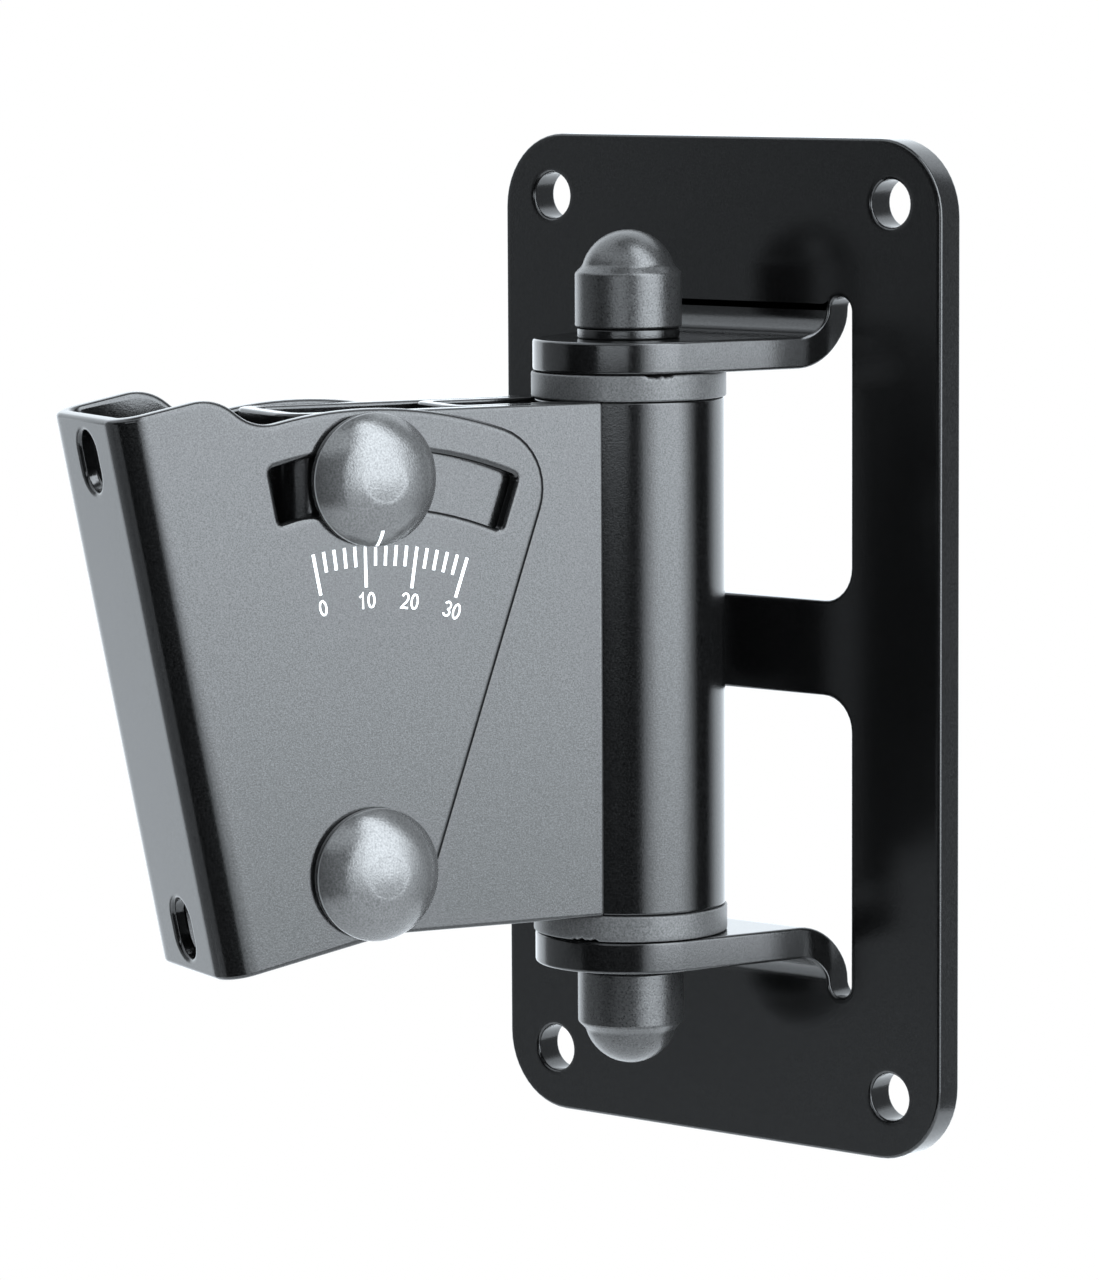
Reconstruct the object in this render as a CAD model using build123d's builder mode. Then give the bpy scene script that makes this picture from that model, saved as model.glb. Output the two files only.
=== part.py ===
from build123d import *
import os
from math import cos, radians, sin, sqrt

# Speaker wall bracket: a wall plate with two bent ears, an arm that swings between
# them on an upright bolt, and a speaker channel that tilts on the arm's outer end.
# Millimetres. The origin is the centre of the wall plate's back face, +Z is up and
# the bracket stands out from the wall along -Y.

# Pose in which the bracket stands, measured from straight out and level
swing_angle = 21.0
tilt_angle = 11.3
tilt_limit = 30.0

# Wall plate and its ears
plate_width = 90.0
plate_height = 160.0
plate_sheet = 5.0
plate_corner = 12.0
plate_edge = 0.5
wall_hole = 7.5
wall_hole_columns = 70.0
wall_hole_rows = 140.0
window_width = 54.4
window_corner = 5.5
bar_height = 15.0
relief_width = 4.3
ear_bend = 4.0
ear_width = 30.0
ear_land = 1.6
ear_shoulder = 5.0

# Barrel and its bushes
barrel_standoff = 21.4
barrel_diameter = 30.0
barrel_wall = 2.5
barrel_height = 80.0
barrel_edge = 0.5
bush_flange = 4.0
bush_overhang = 0.25
bush_spigot = 12.0
bush_edge = 0.3

# Arm
arm_width = 22.0
arm_sheet = 3.0
arm_reach = 63.7
arm_bend = 2.0
bolt_reach = 51.2
bolt_margin = 10.0
arm_edge_round = 0.6
brace_sheet = 2.5
brace_reach = 34.3
brace_bend = 1.5
brace_edge_round = 0.5

# Speaker channel
channel_sheet = 2.5
channel_bend = 2.3
channel_web = 26.9
channel_edge_round = 0.6
pivot_margin = 10.0
slot_margin = 6.3
hump_rise = 6.2
hump_start = 10.4
hump_run = 5.4
hump_round = 8.0
rear_corner = 10.0
slot_corner = 0.8
screw_slot_width = 6.3
screw_slot_near = 70.0
screw_slot_far = 76.2

# Bolts, nuts and washers
bolt_diameter = 8.0
pivot_bolt_tail = 2.2
side_bolt_tail = 2.0
hex_flats = 13.0
hex_head_height = 5.3
nut_height = 8.0
nut_hex_height = 5.6
nut_collar = 11.4
nut_lip = 0.5
ring_height = 1.7
ring_wall = 1.5
washer_diameter = 16.0
washer_sheet = 1.6
cup_diameter = 20.6
cup_rim = 1.0
cup_height = 4.9
cup_flat = 6.6
cup_curve = 12.8
thread_chamfer = 1.0

# Caps over the pivot bolt's ends
cap_diameter = 16.7
cap_skirt = 8.4
cap_step = 1.2
cap_dome = 5.5
cap_hex_depth = 8.05
cap_bore = 9.4
cap_bore_depth = 10.4
upper_cap_gap = 0.15
lower_cap_gap = 1.2

# Clearances
axial_play = 0.1
pivot_play = 0.08
spigot_play = 0.05
hole_play = 0.2
side_play = 0.15
slide_play = 0.1
neck_play = 0.3
weld_gap = 0.03
thread_play = 0.03
cap_play = 0.05
ring_play = 0.02

# Levels and radii that follow from them
bolt_radius = bolt_diameter / 2
barrel_radius = barrel_diameter / 2
barrel_bore = barrel_radius - barrel_wall
barrel_y = -(plate_sheet + barrel_standoff)
ear_inner = barrel_height / 2 + bush_flange + axial_play
ear_outer = ear_inner + plate_sheet
bend_level = ear_outer + ear_bend
bend_y = -(plate_sheet + ear_bend)
bolt_spacing = barrel_height - 2 * bolt_margin
root_half = window_width / 2 - relief_width
arm_half = arm_width / 2
channel_half = arm_half + side_play + channel_sheet
pivot_level = -bolt_spacing / 2
slot_half = bolt_radius + neck_play
arc_top = bolt_spacing + slot_half + slot_margin
channel_top = arc_top + hump_rise
screw_slot_centre = (channel_top - pivot_margin) / 2
pivot_bolt_length = 2 * ear_outer + washer_sheet + nut_height + pivot_bolt_tail

# Directions of the swung arm and of the tilted channel
outward = Vector(-sin(radians(swing_angle)), -cos(radians(swing_angle)), 0)
sideways = Vector(cos(radians(swing_angle)), -sin(radians(swing_angle)), 0)
upward = Vector(0, 0, 1)
barrel_axis = Vector(0, barrel_y, 0)
pivot_point = barrel_axis + outward * bolt_reach + upward * pivot_level
clamp_point = pivot_point + upward * bolt_spacing
channel_out = outward * cos(radians(tilt_angle)) - upward * sin(radians(tilt_angle))
channel_up = upward * cos(radians(tilt_angle)) + outward * sin(radians(tilt_angle))

# Working planes: arm plan, arm side, channel section and channel side
arm_plan = Plane(origin=barrel_axis, x_dir=outward, z_dir=upward)
arm_side = Plane(origin=barrel_axis, x_dir=outward, z_dir=-sideways)
channel_plan = Plane(origin=pivot_point, x_dir=channel_out, z_dir=channel_up)
channel_side = Plane(origin=pivot_point, x_dir=channel_out, z_dir=-sideways)
channel_front = Plane(origin=pivot_point + channel_out * channel_web, x_dir=sideways, z_dir=channel_out)


# Wall plate with two ears bent out of its windows, their sides flared from the round
# end to the full width at the bend
window_height = bend_level - bar_height / 2
relief_x = root_half + relief_width / 2


def lies_on_skin(edge):
    """True for the sheet's own rims, false across its thickness and along its bends."""
    middle = edge @ 0.5
    run = edge % 0.5
    in_ear = middle.Y < bend_y - 0.1
    at_bend = edge.geom_type == GeomType.LINE and abs(run.X) > 0.99 and (
        abs(middle.Y - bend_y) < 0.1 or abs(abs(middle.Z) - bend_level) < 0.1
    )
    across_plate = edge.geom_type == GeomType.LINE and abs(run.Y) > 0.99 and middle.Y > bend_y
    across_ear = edge.geom_type == GeomType.LINE and abs(run.Z) > 0.99 and in_ear
    return not (at_bend or across_plate or across_ear)


with BuildPart() as wall_plate:
    with BuildSketch(Plane.XZ):
        RectangleRounded(plate_width, plate_height, plate_corner)
        with GridLocations(wall_hole_columns, wall_hole_rows, 2, 2):
            Circle(wall_hole / 2, mode=Mode.SUBTRACT)
    extrude(amount=plate_sheet)
    with BuildSketch(Plane.XZ) as windows:
        with Locations((0, bar_height / 2 + window_height / 2)):
            Rectangle(window_width, window_height)
        fillet(windows.vertices().group_by(Axis.Y)[0], radius=window_corner)
        with Locations((-relief_x, bend_level), (relief_x, bend_level)):
            Circle(relief_width / 2)
        mirror(about=Plane.XZ)
    extrude(amount=plate_sheet, mode=Mode.SUBTRACT)
    with BuildSketch(Plane.YZ):
        with Locations((bend_y, bend_level)):
            Circle(ear_bend + plate_sheet)
            Circle(ear_bend, mode=Mode.SUBTRACT)
        with Locations((bend_y, bend_level)):
            Rectangle(
                ear_bend + plate_sheet,
                ear_bend + plate_sheet,
                align=(Align.MIN, Align.MAX),
                mode=Mode.INTERSECT,
            )
    extrude(amount=root_half, both=True)
    with BuildSketch(Plane.XY.offset(ear_inner)) as ear_outline:
        with BuildLine():
            CenterArc((0, barrel_y), ear_width / 2, 0, 360)
            Line((-root_half, bend_y - ear_land), (root_half, bend_y - ear_land))
            Line((-root_half, bend_y), (root_half, bend_y))
        make_hull()
        fillet(ear_outline.vertices().group_by(Axis.Y)[-2], radius=ear_shoulder)
        with Locations((0, barrel_y)):
            Circle(bolt_radius + hole_play, mode=Mode.SUBTRACT)
    extrude(amount=plate_sheet)
    mirror(about=Plane.XY)
    skin_edges = [edge for edge in wall_plate.edges() if lies_on_skin(edge)]
    chamfer(skin_edges, length=plate_edge)
wall_plate.part.label = "wall_plate"

# Barrel tube that turns on the pivot bolt
with BuildPart() as barrel_tube:
    with BuildSketch(arm_plan.offset(-barrel_height / 2)):
        Circle(barrel_radius)
        Circle(barrel_bore, mode=Mode.SUBTRACT)
    extrude(amount=barrel_height)
    rims = barrel_tube.edges().filter_by(GeomType.CIRCLE).sort_by(SortBy.RADIUS)[-2:]
    chamfer(rims, length=barrel_edge)
barrel_tube.part.label = "barrel_tube"


def flanged_bush(level, direction):
    """Plastic bush seated on one end of the barrel, its spigot inside the tube."""
    seat = Plane(origin=barrel_axis + upward * level, x_dir=outward, z_dir=upward * direction)
    with BuildPart() as bush:
        with BuildSketch(seat):
            Circle(barrel_radius + bush_overhang)
        extrude(amount=bush_flange)
        chamfer(bush.edges().filter_by(GeomType.CIRCLE), length=bush_edge)
        with BuildSketch(seat):
            Circle(barrel_bore - spigot_play)
        extrude(amount=-bush_spigot)
        with BuildSketch(seat.offset(bush_flange)):
            Circle(bolt_radius + pivot_play)
        extrude(amount=-bush_flange - bush_spigot, mode=Mode.SUBTRACT)
    return bush


upper_bush = flanged_bush(barrel_height / 2, 1)
upper_bush.part.label = "upper_bush"
lower_bush = flanged_bush(-barrel_height / 2, -1)
lower_bush.part.label = "lower_bush"


def folded_strip(half, sheet, reach, inner_bend, edge_round):
    """Upright channel folded round the arm's outer end, coped to the barrel."""
    with BuildPart() as strip:
        with BuildSketch(arm_plan.offset(-barrel_height / 2)) as section:
            with Locations((reach / 2, 0)):
                Rectangle(reach, 2 * half)
            fillet(section.vertices().group_by(Axis.X)[-1], radius=inner_bend + sheet)
            with BuildSketch(mode=Mode.PRIVATE) as hollow:
                with Locations(((reach - sheet) / 2, 0)):
                    Rectangle(reach - sheet, 2 * (half - sheet))
                fillet(hollow.vertices().group_by(Axis.X)[-1], radius=inner_bend)
            add(hollow.sketch, mode=Mode.SUBTRACT)
            Circle(barrel_radius + weld_gap, mode=Mode.SUBTRACT)
        extrude(amount=barrel_height)
        ends = strip.faces().filter_by(Axis.Z)
        rims = [edge for face in ends for edge in face.edges() if edge.length > 2 * sheet]
        fillet(rims, radius=edge_round)
    return strip


# Arm: an outer channel closed at its outer end, and a brace folded inside it
shell_strip = folded_strip(arm_half, arm_sheet, arm_reach, arm_bend, arm_edge_round)
with BuildPart() as arm_shell:
    add(shell_strip.part)
    with BuildSketch(arm_side):
        with Locations((bolt_reach, -bolt_spacing / 2), (bolt_reach, bolt_spacing / 2)):
            Circle(bolt_radius + pivot_play)
    extrude(amount=arm_half + side_play, both=True, mode=Mode.SUBTRACT)
arm_shell.part.label = "arm_shell"
arm_brace = folded_strip(arm_half - arm_sheet, brace_sheet, brace_reach, brace_bend, brace_edge_round)
arm_brace.part.label = "arm_brace"

# Speaker channel: a folded channel trimmed to its side outline, which is a straight
# rear edge and a round top, both swept about the pivot, and a hump over the web
channel_inner = channel_half - channel_sheet
bend_outer = channel_bend + channel_sheet
limit = radians(tilt_limit)
limit_run = Vector(-sin(limit), cos(limit))
rear_tangent = Vector(-cos(limit), -sin(limit)) * pivot_margin
rear_top = rear_tangent + limit_run * sqrt(arc_top**2 - pivot_margin**2)
hump_foot = hump_start - hump_run
hump_foot_level = sqrt(arc_top**2 - hump_foot**2)


def swept_slot(half_width, corner):
    """Slot that a square neck sweeps about the pivot, in the channel's side plane."""
    side_run = Vector(cos(limit), sin(limit))
    inner = bolt_spacing - half_width
    outer = bolt_spacing + half_width
    start_inner = Vector(half_width, sqrt(inner**2 - half_width**2))
    start_outer = Vector(half_width, sqrt(outer**2 - half_width**2))
    end_inner = limit_run * start_inner.Y - side_run * half_width
    end_outer = limit_run * start_outer.Y - side_run * half_width
    with BuildSketch(mode=Mode.PRIVATE) as slot:
        with BuildLine():
            Line(start_inner, start_outer)
            RadiusArc(start_outer, end_outer, -outer)
            Line(end_outer, end_inner)
            RadiusArc(end_inner, start_inner, inner)
        make_face()
        fillet(slot.vertices(), radius=corner)
    return slot.sketch


def is_skin_rim(edge):
    """True for the edges round the channel's outer skin, false along its bends."""
    middle = (edge @ 0.5) - pivot_point
    past_side = abs(middle.dot(sideways)) - (channel_half - bend_outer)
    past_web = middle.dot(channel_out) - (channel_web - bend_outer)
    depth = bend_outer - max(past_side, past_web)
    if past_side > 0 and past_web > 0:
        depth = bend_outer - sqrt(past_side**2 + past_web**2)
    return depth < 0.01 and abs((edge % 0.5).dot(channel_up)) < 0.999


with BuildPart() as speaker_channel:
    with BuildSketch(channel_plan.offset(-2 * channel_web)) as channel_section:
        with Locations((channel_web - arc_top, 0)):
            Rectangle(2 * arc_top, 2 * channel_half)
        fillet(channel_section.vertices().group_by(Axis.X)[-1], radius=bend_outer)
        with BuildSketch(mode=Mode.PRIVATE) as channel_hollow:
            with Locations((channel_web - channel_sheet - arc_top, 0)):
                Rectangle(2 * arc_top, 2 * channel_inner)
            fillet(channel_hollow.vertices().group_by(Axis.X)[-1], radius=channel_bend)
        add(channel_hollow.sketch, mode=Mode.SUBTRACT)
    extrude(amount=2 * channel_web + 2 * channel_top)
    with BuildSketch(channel_side) as channel_outline:
        with BuildLine():
            Line((channel_web, -pivot_margin), (0, -pivot_margin))
            RadiusArc((0, -pivot_margin), rear_tangent, pivot_margin)
            Line(rear_tangent, rear_top)
            RadiusArc(rear_top, (hump_foot, hump_foot_level), arc_top)
            Polyline(
                (hump_foot, hump_foot_level),
                (hump_start, channel_top),
                (channel_web, channel_top),
                (channel_web, -pivot_margin),
            )
        make_face()
        corners = channel_outline.vertices().sort_by(Axis.X)
        fillet(corners[0], radius=rear_corner)
        hump = channel_outline.vertices().filter_by_position(Axis.X, hump_foot - 0.1, hump_start + 0.1)
        fillet(hump, radius=hump_round)
    extrude(amount=channel_half, both=True, mode=Mode.INTERSECT)
    rims = [edge for edge in speaker_channel.edges() if is_skin_rim(edge)]
    fillet(rims, radius=channel_edge_round)
    with BuildSketch(channel_side):
        add(swept_slot(slot_half, slot_corner))
    extrude(amount=channel_half, both=True, mode=Mode.SUBTRACT)
    with BuildSketch(channel_side):
        Circle(bolt_radius + hole_play)
    extrude(amount=channel_half, mode=Mode.SUBTRACT)
    with BuildSketch(channel_side):
        Rectangle(bolt_diameter + 2 * hole_play, bolt_diameter + 2 * hole_play)
    extrude(amount=-channel_half, mode=Mode.SUBTRACT)
    with BuildSketch(channel_front):
        slot_centres = (screw_slot_near + screw_slot_far) / 2
        with Locations((0, screw_slot_centre)):
            with GridLocations(1, slot_centres, 1, 2):
                SlotCenterToCenter((screw_slot_far - screw_slot_near) / 2, screw_slot_width, rotation=90)
    extrude(amount=-channel_sheet, mode=Mode.SUBTRACT)
speaker_channel.part.label = "speaker_channel"


def flat_washer(seat):
    """Plain washer lying on a seat."""
    with BuildPart() as washer:
        with BuildSketch(seat):
            Circle(washer_diameter / 2)
            Circle(bolt_radius + hole_play, mode=Mode.SUBTRACT)
        extrude(amount=washer_sheet)
    return washer


def lock_nut(seat):
    """Hexagon nut from its seat outwards, its collar rolled over a ring groove."""
    with BuildPart() as nut:
        with BuildSketch(seat):
            RegularPolygon(hex_flats / 2, 6, major_radius=False)
        extrude(amount=nut_hex_height)
        with BuildSketch(seat.offset(nut_hex_height)):
            Circle(nut_collar / 2)
        extrude(amount=nut_height - nut_hex_height)
        with BuildSketch(seat):
            Circle(bolt_radius + thread_play)
        extrude(amount=nut_height, mode=Mode.SUBTRACT)
        with BuildSketch(seat.offset(nut_height - nut_lip)):
            Circle(bolt_radius + ring_play + ring_wall)
        extrude(amount=-ring_height, mode=Mode.SUBTRACT)
        with BuildSketch(seat.offset(nut_height)):
            Circle(bolt_radius + ring_wall / 2)
        extrude(amount=-nut_lip, mode=Mode.SUBTRACT)
    return nut


def nut_ring(seat):
    """Nylon ring held under the lip of the lock nut on the same seat."""
    with BuildPart() as ring:
        with BuildSketch(seat.offset(nut_height - nut_lip)):
            Circle(bolt_radius + ring_wall)
            Circle(bolt_radius + ring_play, mode=Mode.SUBTRACT)
        extrude(amount=-ring_height)
    return ring


def cup_bolt(point, turn, head_gap):
    """Cup square bolt through both channel sides, head on the scale side."""
    seat = Plane(origin=point + sideways * (channel_half + head_gap), x_dir=turn, z_dir=sideways)
    grip = 2 * (channel_half + head_gap) + washer_sheet
    with BuildPart() as bolt:
        with BuildSketch(Plane(origin=seat.origin, x_dir=turn, z_dir=turn.cross(sideways))):
            with BuildLine():
                Polyline(
                    (cup_flat / 2, cup_height),
                    (0, cup_height),
                    (0, 0),
                    (cup_diameter / 2, 0),
                    (cup_diameter / 2, cup_rim),
                )
                RadiusArc((cup_diameter / 2, cup_rim), (cup_flat / 2, cup_height), -cup_curve)
            make_face()
        revolve(axis=Axis(seat.origin, sideways))
        with BuildSketch(seat):
            Rectangle(bolt_diameter, bolt_diameter)
        extrude(amount=-channel_sheet - head_gap)
        with BuildSketch(seat):
            Circle(bolt_radius)
        extrude(amount=-(grip + nut_height + side_bolt_tail))
        end = bolt.faces().filter_by(GeomType.PLANE).sort_by(Axis(point, sideways))[0]
        chamfer(end.edges(), length=thread_chamfer)
    return bolt


# Lower cup bolt: the tilt pivot, which turns with the channel
tilt_seat = Plane(origin=pivot_point - sideways * channel_half, x_dir=channel_up, z_dir=-sideways)
tilt_bolt = cup_bolt(pivot_point, channel_up, 0)
tilt_bolt.part.label = "tilt_bolt"
tilt_washer = flat_washer(tilt_seat)
tilt_washer.part.label = "tilt_washer"
tilt_nut = lock_nut(tilt_seat.offset(washer_sheet))
tilt_nut.part.label = "tilt_nut"
tilt_nut_ring = nut_ring(tilt_seat.offset(washer_sheet))
tilt_nut_ring.part.label = "tilt_nut_ring"

# Upper cup bolt: clamps the channel, its neck guided by the curved slot
clamp_half = channel_half + slide_play
clamp_seat = Plane(origin=clamp_point - sideways * clamp_half, x_dir=channel_up, z_dir=-sideways)
clamp_bolt = cup_bolt(clamp_point, upward, slide_play)
clamp_bolt.part.label = "clamp_bolt"
clamp_washer = flat_washer(clamp_seat)
clamp_washer.part.label = "clamp_washer"
clamp_nut = lock_nut(clamp_seat.offset(washer_sheet))
clamp_nut.part.label = "clamp_nut"
clamp_nut_ring = nut_ring(clamp_seat.offset(washer_sheet))
clamp_nut_ring.part.label = "clamp_nut_ring"

# Upright pivot bolt with its nut on top
head_seat = Plane(origin=barrel_axis - upward * ear_outer, x_dir=outward, z_dir=upward)
top_seat = Plane(origin=barrel_axis + upward * ear_outer, x_dir=outward, z_dir=upward)
with BuildPart() as pivot_bolt:
    with BuildSketch(head_seat):
        RegularPolygon(hex_flats / 2, 6, major_radius=False)
    extrude(amount=-hex_head_height)
    with BuildSketch(head_seat):
        Circle(bolt_radius)
    extrude(amount=pivot_bolt_length)
    chamfer(pivot_bolt.edges().sort_by(Axis.Z)[-1], length=thread_chamfer)
pivot_bolt.part.label = "pivot_bolt"
pivot_washer = flat_washer(top_seat)
pivot_washer.part.label = "pivot_washer"
pivot_nut = lock_nut(top_seat.offset(washer_sheet))
pivot_nut.part.label = "pivot_nut"
pivot_nut_ring = nut_ring(top_seat.offset(washer_sheet))
pivot_nut_ring.part.label = "pivot_nut_ring"


def bolt_cap(level, direction):
    """Moulded cap pushed over a nut or a bolt head, its rim towards the ear."""
    rim = Plane(origin=barrel_axis + upward * level * direction, x_dir=outward, z_dir=upward * direction)
    step_radius = cap_diameter / 2 - cap_step
    step_level = cap_skirt + cap_step
    dome_radius = (step_radius**2 + cap_dome**2) / (2 * cap_dome)
    with BuildPart() as cap:
        with BuildSketch(Plane(origin=rim.origin, x_dir=outward, z_dir=outward.cross(upward * direction))):
            with BuildLine():
                Polyline(
                    (0, step_level + cap_dome),
                    (0, 0),
                    (cap_diameter / 2, 0),
                    (cap_diameter / 2, cap_skirt),
                    (step_radius, step_level),
                )
                RadiusArc((step_radius, step_level), (0, step_level + cap_dome), -dome_radius)
            make_face()
        revolve(axis=Axis(rim.origin, upward))
        with BuildSketch(rim):
            RegularPolygon(hex_flats / 2 + cap_play, 6, major_radius=False)
        extrude(amount=cap_hex_depth, mode=Mode.SUBTRACT)
        with BuildSketch(rim):
            Circle(cap_bore / 2)
        extrude(amount=cap_bore_depth, mode=Mode.SUBTRACT)
    return cap


upper_cap = bolt_cap(ear_outer + washer_sheet + upper_cap_gap, 1)
upper_cap.part.label = "upper_cap"
lower_cap = bolt_cap(ear_outer + lower_cap_gap, -1)
lower_cap.part.label = "lower_cap"

wall_side = [wall_plate, pivot_bolt, pivot_washer, pivot_nut, pivot_nut_ring, upper_cap, lower_cap]
swinging = [barrel_tube, upper_bush, lower_bush, arm_shell, arm_brace]
clamping = [clamp_bolt, clamp_washer, clamp_nut, clamp_nut_ring]
tilting = [speaker_channel, tilt_bolt, tilt_washer, tilt_nut, tilt_nut_ring]
os.makedirs("parts", exist_ok=True)
for piece in wall_side + swinging + clamping + tilting:
    export_step(piece.part, f"parts/{piece.part.label}.step")
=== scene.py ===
import math
import bmesh
import bpy
from mathutils import Matrix, Vector


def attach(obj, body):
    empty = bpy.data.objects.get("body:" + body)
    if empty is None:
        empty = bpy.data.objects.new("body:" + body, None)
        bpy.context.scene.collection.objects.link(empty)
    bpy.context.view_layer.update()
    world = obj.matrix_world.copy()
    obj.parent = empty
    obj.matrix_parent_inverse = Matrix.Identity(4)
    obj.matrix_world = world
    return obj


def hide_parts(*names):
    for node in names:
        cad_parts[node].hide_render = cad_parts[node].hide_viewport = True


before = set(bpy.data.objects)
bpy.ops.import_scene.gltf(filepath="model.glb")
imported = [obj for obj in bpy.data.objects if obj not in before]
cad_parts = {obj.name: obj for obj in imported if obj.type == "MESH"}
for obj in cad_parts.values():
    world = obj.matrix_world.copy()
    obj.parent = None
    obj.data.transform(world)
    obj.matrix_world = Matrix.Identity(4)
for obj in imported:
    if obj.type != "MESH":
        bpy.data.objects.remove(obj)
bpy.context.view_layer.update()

bl_info = {
    "name": "Speaker wall bracket",
    "version": (1, 0, 0),
    "blender": (4, 5, 0),
    "location": "3D View > Sidebar > Bracket",
    "description": "Dresses a folded steel speaker bracket for its wall and shows it in a small studio",
    "category": "Object",
}

MM = 0.001
QUARTER = math.pi / 2
UP = Vector((0, 0, 1))

# Radius of the bolts' clearance holes and half their square hole, and the gap between parts that touch
BOLT_HOLE, FIT = 4.2 * MM, 0.05 * MM


# Settings

def size(name, description, default):
    """A length in metres that the panel shows in the scene's units."""
    return bpy.props.FloatProperty(
        name=name, description=description, default=default * MM, min=0, unit="LENGTH", precision=5
    )


def angle(name, description, default):
    """An angle that the panel shows in degrees."""
    return bpy.props.FloatProperty(
        name=name, description=description, default=math.radians(default), unit="ROTATION"
    )


def colour(name, description, default):
    """A linear colour."""
    return bpy.props.FloatVectorProperty(
        name=name, description=description, default=default, subtype="COLOR", min=0, max=1
    )


def amount(name, description, default):
    """A plain factor."""
    return bpy.props.FloatProperty(name=name, description=description, default=default, min=0)


class PoseSettings(bpy.types.PropertyGroup):
    """Where the arm and the channel stand at rest."""

    swing: angle("Swing", "Arm turned from straight out", 21.0)
    tilt: angle("Tilt", "Channel leaned forward from level", 11.3)
    tilt_limit: angle("Tilt limit", "Last angle on the printed scale", 30.0)
    barrel_y: size("Barrel distance", "Wall to the upright bolt", 26.4)
    bolt_reach: size("Bolt reach", "Upright bolt to the cross bolts", 51.2)
    bolt_spacing: size("Bolt spacing", "Between the two cross bolts", 60.0)


class PlateSettings(bpy.types.PropertyGroup):
    """The wall plate and its two bent ears."""

    width: size("Width", "Plate width", 90.0)
    height: size("Height", "Plate height", 160.0)
    sheet: size("Sheet", "Sheet thickness", 5.0)
    corner: size("Corner", "Corner radius", 12.0)
    hole: size("Hole", "Wall screw hole diameter", 7.5)
    hole_columns: size("Hole columns", "Between the hole columns", 70.0)
    hole_rows: size("Hole rows", "Between the hole rows", 140.0)
    window_half: size("Window half", "Half the window's width", 27.2)
    window_corner: size("Window corner", "Radius beside the middle bar", 5.5)
    bar_half: size("Bar half", "Half the middle bar's height", 7.5)
    relief: size("Relief", "Width of the notch beside a bend", 4.3)
    bend: size("Bend", "Inner radius of an ear's bend", 4.0)
    ear_half: size("Ear half", "Half an ear's width", 15.0)
    ear_top: size("Ear level", "Height of an ear's outer face", 49.1)
    shoulder: size("Shoulder", "Radius where an ear meets its root", 10.0)
    edge: size("Edge round", "Rounding of the sheet's rims", 0.5)


class ArmSettings(bpy.types.PropertyGroup):
    """The barrel and the folded arm."""

    barrel_radius: size("Barrel radius", "Outside of the barrel", 15.0)
    barrel_wall: size("Barrel wall", "Wall of the barrel", 2.5)
    half_height: size("Half height", "Half the barrel's height", 40.0)
    half_width: size("Half width", "Half the arm's width", 11.0)
    sheet: size("Sheet", "Arm sheet", 3.0)
    reach: size("Reach", "Upright bolt to the arm's closed end", 63.7)
    bend: size("Bend", "Outer radius of the arm's bends", 5.0)
    brace_sheet: size("Brace sheet", "Sheet of the inner brace", 2.5)
    brace_reach: size("Brace reach", "Upright bolt to the brace's web", 34.3)
    brace_bend: size("Brace bend", "Outer radius of the brace's bends", 4.0)
    hole: size("Hole", "Radius of the running holes for the bolts", 4.08)
    edge: size("Edge round", "Rounding of the sheet's rims", 0.55)


class ChannelSettings(bpy.types.PropertyGroup):
    """The folded speaker channel."""

    half_width: size("Half width", "Half the channel's width", 13.65)
    sheet: size("Sheet", "Channel sheet", 2.5)
    web: size("Web", "Lower bolt to the web's face", 26.9)
    bend: size("Bend", "Outer radius of the bends", 4.8)
    top: size("Top", "Lower bolt to the top over the web", 76.8)
    margin: size("Margin", "Sheet round the lower bolt", 10.0)
    arc: size("Arc", "Lower bolt to the round top", 70.6)
    hump_x: size("Hump start", "Where the flat top begins", 10.4)
    hump_run: size("Hump run", "Length of the slope up to the flat top", 5.4)
    hump_round: size("Hump round", "Radius at both ends of the slope", 8.0)
    slot_half: size("Slot half", "Half the curved slot's width", 4.3)
    slot_corner: size("Slot corner", "Radius in the curved slot's corners", 0.8)
    screw_half: size("Screw slot half", "Half the width of a speaker screw slot", 3.15)
    screw_near: size("Nearest screws", "Shortest screw spacing", 70.0)
    screw_far: size("Farthest screws", "Longest screw spacing", 76.2)
    edge: size("Edge round", "Rounding of the sheet's rims", 0.7)


class ScaleSettings(bpy.types.PropertyGroup):
    """The printed tilt scale."""

    outer: size("Outer", "Lower bolt to the outer ends of the ticks", 50.0)
    long_tick: size("Long tick", "Length of every tenth degree's tick", 6.3)
    short_tick: size("Short tick", "Length of the other ticks", 3.1)
    line: size("Line", "Width of a printed line", 0.5)
    label_radius: size("Label radius", "Lower bolt to the middle of the numbers", 41.7)
    label_height: size("Label height", "Height of the numbers", 2.5)
    pointer_start: size("Pointer start", "Upper bolt to the inner end of the pointer", 7.5)
    ink: colour("Ink", "Printed ink", (0.85, 0.86, 0.86))


class FinishSettings(bpy.types.PropertyGroup):
    """Colours and grain of the finishes."""

    coat: colour("Coat", "Satin coat on the folded steel", (0.002, 0.002, 0.002))
    coat_roughness: amount("Coat roughness", "Spread of the coat's reflections", 0.15)
    coat_grain: amount("Coat grain", "Depth of the coat's fine grain", 0.05)
    bush: colour("Bush", "Moulded bushes", (0.042, 0.042, 0.042))
    cap: colour("Cap", "Moulded caps", (0.012, 0.012, 0.012))
    bolt: colour("Bolt", "Blackened steel", (0.045, 0.045, 0.045))
    nylon: colour("Nylon", "Locking rings", (0.55, 0.56, 0.5))


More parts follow.
